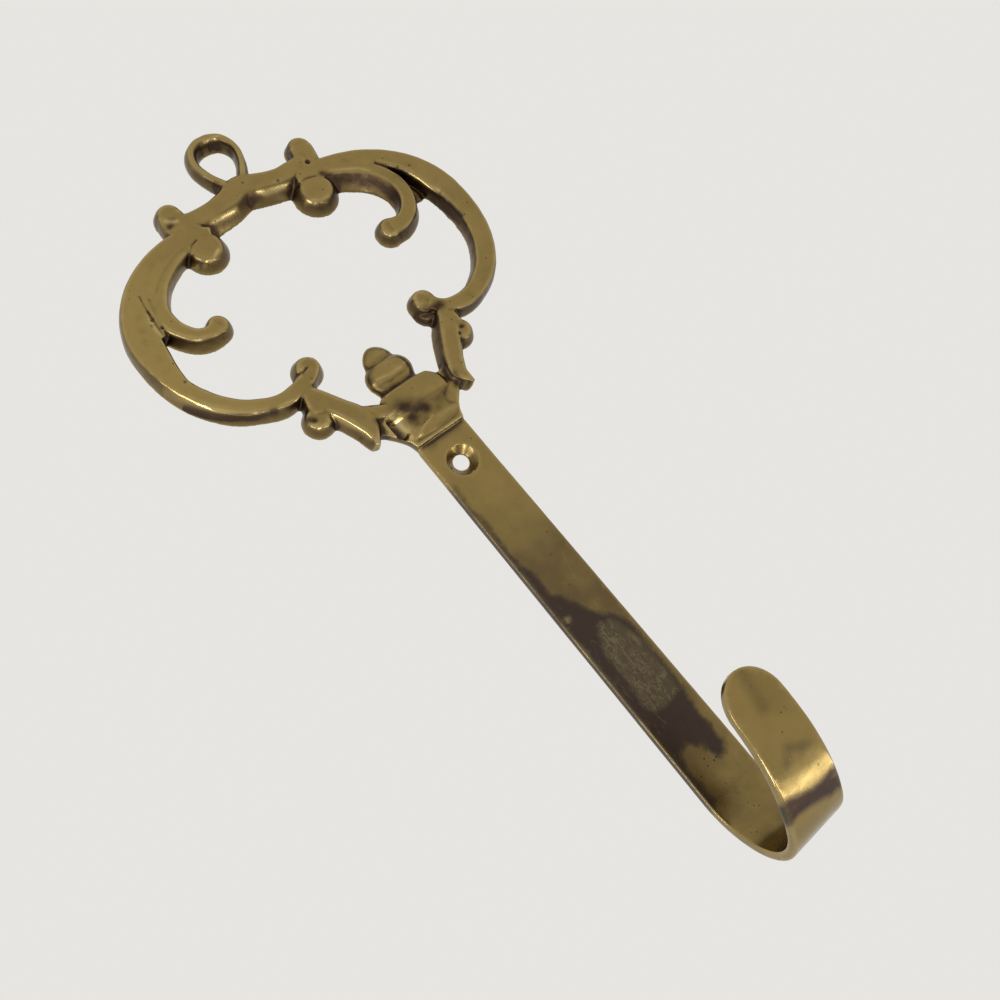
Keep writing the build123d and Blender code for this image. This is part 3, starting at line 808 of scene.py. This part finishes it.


# masks of polish, tarnish, stains and scuffs, with painted highlights, painted shade and painted
# dark reflections
def wearAndLightMasks(places, normals, edges, x, z, front):
    y, facing = places[:, 1], normals[:, 1]
    fine, broad = (((neighbourMean(places, edges, wearAndLight[rounds]) - places) * normals).sum(1)
                   for rounds in ("fineRounds", "broadRounds"))
    crest = z > wearAndLight["crestFrom"]
    # painted highlights along the glint routes
    paintedHighlight = crest * front * strongest(x, z, wearAndLight["glints"])

    tarnishAndPaintedShade = 0
    for curve, (full, amount) in ((fine, wearAndLight["corner"]), (broad, wearAndLight["basin"])):
        tarnishAndPaintedShade = tarnishAndPaintedShade + share(curve, 0, full) * amount
    # painted shade and painted dark reflections along the shadow routes
    tarnishAndPaintedShade = np.maximum(tarnishAndPaintedShade, crest * strongest(x, z, wearAndLight["shadows"]))
    tarnishAndPaintedShade *= facing < wearAndLight["facing"]
    # polish shine on sharp edges, partly painted highlight
    rim = share(-fine, *wearAndLight["rim"]) * np.interp(z, *np.array(wearAndLight["rimHeights"]).T)
    rim *= 1 - wearAndLight["rimLost"] * np.clip(tarnishAndPaintedShade, 0, 1)

    radius, width, amount = wearAndLight["hole"]
    level, most = wearAndLight["holeTurned"]
    # painted shade in the countersink round the screw hole
    ring = amount * np.exp(-((np.hypot(x, z) - radius) / width) ** 2)
    ring *= np.clip(level + facing, 0, most) / most * (y < wearAndLight["holeFront"])
    onStrap = (y > wearAndLight["strapDeep"]) * (facing < wearAndLight["facing"])
    onTongue = y < wearAndLight["tongueDeep"]
    strapStainAndReflection, tongueDarkReflection = (patch(x, z, *stainAndDarkReflection) for stainAndDarkReflection in wearAndLight["stains"])
    # the tongue's painted dark reflection band darkens it too
    tarnishAndPaintedShade = np.maximum(np.maximum(tarnishAndPaintedShade, ring), wearAndLight["tongueDarkReflection"] * tongueDarkReflection * onTongue)

    level, fall = wearAndLight["flankShadeAndTarnish"]
    # dark side walls, partly tarnish and partly painted shade
    flankShadeAndTarnish = np.clip(level - fall * np.abs(facing), 0, 1) * (z > wearAndLight["flankFrom"])
    flankShadeAndTarnish *= np.clip(1 - wearAndLight["flankUnderHighlight"] * paintedHighlight, 0, 1)
    fleckX, fleckZ, spread = wearAndLight["fleck"]
    fleck = np.exp(-((x - fleckX) ** 2 + (z - fleckZ) ** 2) / spread) * (facing < -wearAndLight["facing"])
    # darker down the strap, partly tarnish and partly painted dark reflection
    strapReflectionFade = np.interp(z, *np.array(wearAndLight["tarnishAndReflectionFade"]).T) * (y > wearAndLight["strapDeep"])
    return {"rim": np.maximum(np.maximum(rim, paintedHighlight), fleck), "tarnishAndPaintedShade": tarnishAndPaintedShade, "flankShadeAndTarnish": flankShadeAndTarnish,
            "stainAndDarkReflection": strapStainAndReflection * onStrap + tongueDarkReflection * onTongue,
            "tarnishAndReflectionFade": strapReflectionFade + strongest(x, z, wearAndLight["tongueDarkPatches"]) * onTongue,
            "scuff": np.maximum(patch(x, z, *wearAndLight["scuff"]), fleck) * onStrap}


def triangles(piece):
    return sum(len(polygon.vertices) - 2 for polygon in piece.data.polygons)


def thinned(piece):  # fewer triangles, most of them taken from the flat places
    thin = piece.modifiers.new("thin", "DECIMATE")
    thin.ratio = min(1.0, casting["mostTriangles"] / triangles(piece))
    piece = baked(piece, piece.name)
    places = np.clip(rowsOf(piece.data.vertices, "co"), np.array(cadLow), np.array(cadHigh))
    piece.data.vertices.foreach_set("co", places.ravel())
    piece.data.update()
    return piece


strapForm = makeStrap()
forms = [makeArms(), makeBosses(), strapForm, makeShield(), makeFinial(), makeWebs()]
print("forms made:", [(form.name, len(form.data.polygons)) for form in forms])
hook = runTogether(forms, strapForm)
dress(hook)
hook = thinned(hook)
for polygon in hook.data.polygons:
    polygon.use_smooth = True
hook.data.materials.clear()
hook.data.materials.append(brass)
print("casting:", len(hook.data.vertices), "points,", triangles(hook), "triangles")


# Brass.

metal = {
    # Colours: clean brass; the rim colour for polish and painted highlights; the tarnish colour for
    # tarnish with painted shade, and for pits; the haze colour for stains and painted dark
    # reflections; the scuff colour.
    "clean": (0.3, 0.214, 0.074), "rim": (0.62, 0.48, 0.22), "shadeAndTarnishTint": (0.05, 0.03, 0.021),
    "hazeAndDarkReflection": (0.064, 0.046, 0.036), "scuff": (0.185, 0.148, 0.082),
    "clouded": 0.84, "paintedLightLeft": 1.3,  # brightness of the clean brass in clouds, and painted light that brightens it on the left
    "roughness": 0.22, "dullRoughness": 0.4, "rimRoughness": 0.12, "scuffRoughness": 0.12,
    "noises": {  # scale, detail, roughness
        "clouds": (90, 3, 0.55), "mottle": (420, 5, 0.65),
        "speckPlaces": (160, 2, 0.55), "hairPlaces": (130, 1, 0.55),
        "scuffPlaces": (230, 1, 0.55),
    },
    "specks": 520,
    "ranges": {  # from, to and, where they aren't 0 and 1, the values they become
        "clean": (0.3, 0.7), "left": (-0.016, -0.045), "stainAndDarkReflection": (0.08, 0.92),
        # wall and across scale the painted shade of the side walls: lighter at the foot, less dark
        # on the left side
        "tarnishAndReflectionFade": (0.3, 0.6, 0.8, 1.15), "wall": (-0.0006, -0.0036, 0.55, 1),
        "across": (-0.03, 0.03, 0.75, 1), "flankShadeAndTarnish": (0.35, 0.65, 0.88, 1),
        "tarnishAndPaintedShade": (0.3, 0.6, 0.9, 1.3), "rim": (0.35, 0.6, 0.35, 1), "speck": (0.16, 0.07),
        "speckPlaces": (0.52, 0.62), "rough": (0.3, 0.7, -0.03, 0.04), "hairPlaces": (0.5, 0.6),
        "scuffPlaces": (0.35, 0.6, 0.2, 1), "scuff": (0.3, 0.95),
        "scratch": (0, 1, 0.34, 1),
    },
    # Scratches: scale of the noise, width of the line, turn and stretch of the place.
    "lineNoise": (2, 0.5),  # detail, roughness
    "hair": (420, 0.012, 0.5, 0.12),
    "scratches": [(560, 0.03, 0.35, 0.3), (760, 0.035, -0.7, 0.25), (420, 0.02, 0, 1)],
    # Amounts.
    "brokenClouds": 0.7, "brokenMottle": 0.6, "borderBreak": 4.5, "scuffBreak": 0.7,
    "paintedLightLeftBlend": 0.5, "grime": 0.96, "polishAndHighlightAmount": 0.85, "speck": 0.8, "hairShine": 0.07,
    "dullPatina": 0.8,
    "mottleHeight": 0.1, "hairHeight": -0.08, "speckHeight": -1,
    "bump": 0.25, "bumpDepth": 0.00012,
}


def brassMaterial(material):
    tree = emptied(material)
    calc = mathsIn(tree)

    def times(a, b):
        return calc("MULTIPLY", a, b)

    def noise(vector, scale, detail, roughness):
        given = {"Vector": vector, "Scale": scale, "Detail": detail, "Roughness": roughness}
        return put(tree, "ShaderNodeTexNoise", given).outputs["Fac"]

    def noisy(name):
        return noise(place, *metal["noises"][name])

    def mapped(value, *limits):
        sockets = ("From Min", "From Max", "To Min", "To Max")
        return made(tree, "ShaderNodeMapRange", {"Value": value, **dict(zip(sockets, limits))},
                    interpolation_type="SMOOTHSTEP")

    def ranged(value, name):
        return mapped(value, *metal["ranges"][name])

    def mixed(factor, a, b):
        return made(tree, "ShaderNodeMix", {0: factor, 2: a, 3: b}, data_type="FLOAT")

    def blend(factor, a, b):
        a, b = ((*v, 1) if isinstance(v, tuple) else v for v in (a, b))
        return put(tree, "ShaderNodeMix", {0: factor, 6: a, 7: b}, data_type="RGBA").outputs[2]

    def named(name):
        return put(tree, "ShaderNodeAttribute", None, attribute_name=name).outputs["Fac"]

    def clean(brightness):
        return tuple(v * brightness for v in metal["clean"])

    def scratched(scale, thin, turn, stretch):  # level lines of a noise, drawn out one way
        given = {"Vector": place, "Rotation": (0.0, turn, 0.0), "Scale": (1.0, 1.0, stretch)}
        level = noise(made(tree, "ShaderNodeMapping", given), scale, *metal["lineNoise"])
        return mapped(calc("ABSOLUTE", calc("SUBTRACT", level, 0.5)), thin, 0.0)

    place = put(tree, "ShaderNodeTexCoord").outputs["Object"]
    apart = apartOf(tree, place)
    names = ("rim", "tarnishAndPaintedShade", "flankShadeAndTarnish", "tarnishAndReflectionFade", "stainAndDarkReflection", "scuff")
    rim, tarnishAndPaintedShade, flankShadeAndTarnish, tarnishAndReflectionFade, stainAndDarkReflection, scuff = map(named, names)
    cloudy, mottled = noisy("clouds"), noisy("mottle")

    broken = calc("ADD", times(calc("SUBTRACT", cloudy, 0.5), metal["brokenClouds"]),
                  times(calc("SUBTRACT", mottled, 0.5), metal["brokenMottle"]))
    border = times(times(stainAndDarkReflection, calc("SUBTRACT", 1.0, stainAndDarkReflection)), metal["borderBreak"])
    stainAndReflectionShare = ranged(calc("ADD", stainAndDarkReflection, times(broken, border)), "stainAndDarkReflection")
    # stains and painted dark reflections, in the haze colour
    patinaAndDarkReflection = calc("MAXIMUM", stainAndReflectionShare, times(tarnishAndReflectionFade, ranged(cloudy, "tarnishAndReflectionFade")))

    # painted shade on the walls: darker under the face than at the foot, and less dark on the left
    # side
    wallShadeByDepthAndSide = times(ranged(apart["Y"], "wall"), ranged(apart["X"], "across"))
    # tarnish with painted shade on the walls and in the hollows
    grimy = calc("ADD", times(times(flankShadeAndTarnish, wallShadeByDepthAndSide), ranged(mottled, "flankShadeAndTarnish")),
                 times(tarnishAndPaintedShade, ranged(mottled, "tarnishAndPaintedShade")))
    grimy = calc("MINIMUM", grimy, 1.0)
    # polish and painted highlights, in the bright rim colour
    polishAndPaintedHighlight = times(rim, ranged(cloudy, "rim"))
    specks = put(tree, "ShaderNodeTexVoronoi", {"Vector": place, "Scale": metal["specks"]})
    specks = times(ranged(specks.outputs["Distance"], "speck"),
                   ranged(noisy("speckPlaces"), "speckPlaces"))
    hair = times(scratched(*metal["hair"]), ranged(noisy("hairPlaces"), "hairPlaces"))
    first, second, third = (scratched(*row) for row in metal["scratches"])
    crossed = calc("MAXIMUM", calc("MAXIMUM", first, second), third)
    crossed = times(crossed, ranged(noisy("scuffPlaces"), "scuffPlaces"))
    scuffed = calc("ADD", scuff, times(broken, metal["scuffBreak"]))
    scuffed = times(ranged(scuffed, "scuff"), ranged(crossed, "scratch"))

    colour = blend(ranged(cloudy, "clean"), clean(1.0), clean(metal["clouded"]))
    # painted light: the clean brass is brighter on the left side
    colour = blend(times(ranged(apart["X"], "left"), metal["paintedLightLeftBlend"]), colour,
                   clean(metal["paintedLightLeft"]))
    for where, amount, tint in (
            (patinaAndDarkReflection, 1.0, "hazeAndDarkReflection"), (grimy, metal["grime"], "shadeAndTarnishTint"),
            (polishAndPaintedHighlight, metal["polishAndHighlightAmount"], "rim"), (specks, metal["speck"], "shadeAndTarnishTint"),
            (scuffed, 1.0, "scuff"), (hair, metal["hairShine"], "rim")):
        colour = blend(times(where, amount), colour, metal[tint])

    dull = calc("MAXIMUM", grimy, times(patinaAndDarkReflection, metal["dullPatina"]))
    rough = mixed(dull, metal["roughness"], metal["dullRoughness"])
    rough = calc("ADD", rough, ranged(mottled, "rough"))
    rough = mixed(polishAndPaintedHighlight, rough, metal["rimRoughness"])
    rough = calc("ADD", rough, times(scuffed, metal["scuffRoughness"]))
    heights = calc("ADD", times(mottled, metal["mottleHeight"]), times(hair, metal["hairHeight"]))
    heights = calc("ADD", heights, times(specks, metal["speckHeight"]))
    bump = made(tree, "ShaderNodeBump", {"Strength": metal["bump"], "Distance": metal["bumpDepth"],
                                         "Height": heights})
    surface = made(tree, "ShaderNodeBsdfPrincipled",
                   {"Base Color": colour, "Metallic": 1.0, "Roughness": rough, "Normal": bump})
    put(tree, "ShaderNodeOutputMaterial", {"Surface": surface})
    print("brass mixed:", len(tree.nodes), "nodes")


brassMaterial(brass)


# Studio.

studio = {
    "pale": (0.799, 0.783, 0.753),
    "roomTint": (1, 0.98, 0.95),
    "room": 0.5,
    "floorDrop": 0.8, "floorReach": 4,
    "cameraPlace": (-0.09989, -0.24323, -0.04909),
    "cameraTurn": (99.7443, 39.3989, -16.4689),
    "lens": 36, "sensor": 36, "nearest": 0.01,
    "lamps": {  # direction from the hook, distance, width, height, power in watts
        "window": ((0.28, -0.28, -0.88), 0.7, 0.75, 0.04, 0.65),
        "corner": ((-0.6, -0.38, -0.69), 0.7, 0.35, 0.06, 1),
        "side": ((-0.9, -0.33, -0.1), 0.7, 0.05, 0.4, 1),
    },
}


def seenPale(tree, lit, seen):  # the camera, mirrors and glass see the even tone
    path, calc = put(tree, "ShaderNodeLightPath").outputs, mathsIn(tree)
    sight = calc("MAXIMUM", path["Is Camera Ray"], path["Is Glossy Ray"])
    sight = calc("MAXIMUM", sight, path["Is Transmission Ray"])
    return made(tree, "ShaderNodeMixShader", {0: sight, 1: lit, 2: seen})


def paleSurface(name):
    material = bpy.data.materials.new(name)
    tree = emptied(material)
    tone = (*studio["pale"], 1)
    seen = made(tree, "ShaderNodeEmission", {"Color": tone, "Strength": 1.0})
    matt = made(tree, "ShaderNodeBsdfDiffuse", {"Color": tone})
    put(tree, "ShaderNodeOutputMaterial", {"Surface": seenPale(tree, matt, seen)})
    return material


def makeStudio():
    scene = bpy.context.scene
    world = bpy.data.worlds.new("studioRoom")
    scene.world = world
    tree = emptied(world)
    seen, room = (made(tree, "ShaderNodeBackground", {"Color": (*tint, 1), "Strength": power})
                  for tint, power in ((studio["pale"], 1.0), (studio["roomTint"], studio["room"])))
    put(tree, "ShaderNodeOutputWorld", {"Surface": seenPale(tree, room, seen)})

    floorMesh = bpy.data.meshes.new("paleFloor")
    z, far = cadLow.z - studio["floorDrop"], studio["floorReach"]
    floorMesh.from_pydata([(-far, -far, z), (far, -far, z), (far, far, z), (-far, far, z)],
                          [], [(0, 1, 2, 3)])
    floor = newObject("paleFloor", floorMesh)
    floorMesh.materials.append(paleSurface("paleFloor"))

    middle = (cadLow + cadHigh) / 2
    for name, (direction, distance, width, height, power) in studio["lamps"].items():
        lamp = bpy.data.lights.new(name, "AREA")
        lamp.shape, lamp.size, lamp.size_y, lamp.energy = "RECTANGLE", width, height, power
        away = Vector(direction).normalized()
        holder = newObject(name, lamp)
        holder.location = middle + away * distance
        holder.rotation_euler = away.to_track_quat("Z", "Y").to_euler()

    lens = bpy.data.cameras.new("hookCamera")
    lens.lens, lens.sensor_width = studio["lens"], studio["sensor"]
    lens.clip_start = studio["nearest"]
    camera = newObject("hookCamera", lens)
    camera.location = studio["cameraPlace"]
    camera.rotation_euler = [math.radians(a) for a in studio["cameraTurn"]]
    scene.camera = camera
    scene.view_settings.view_transform = "Standard"
    print("studio set:", list(studio["lamps"]))


makeStudio()
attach(hook, "root")
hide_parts("wall_hook")
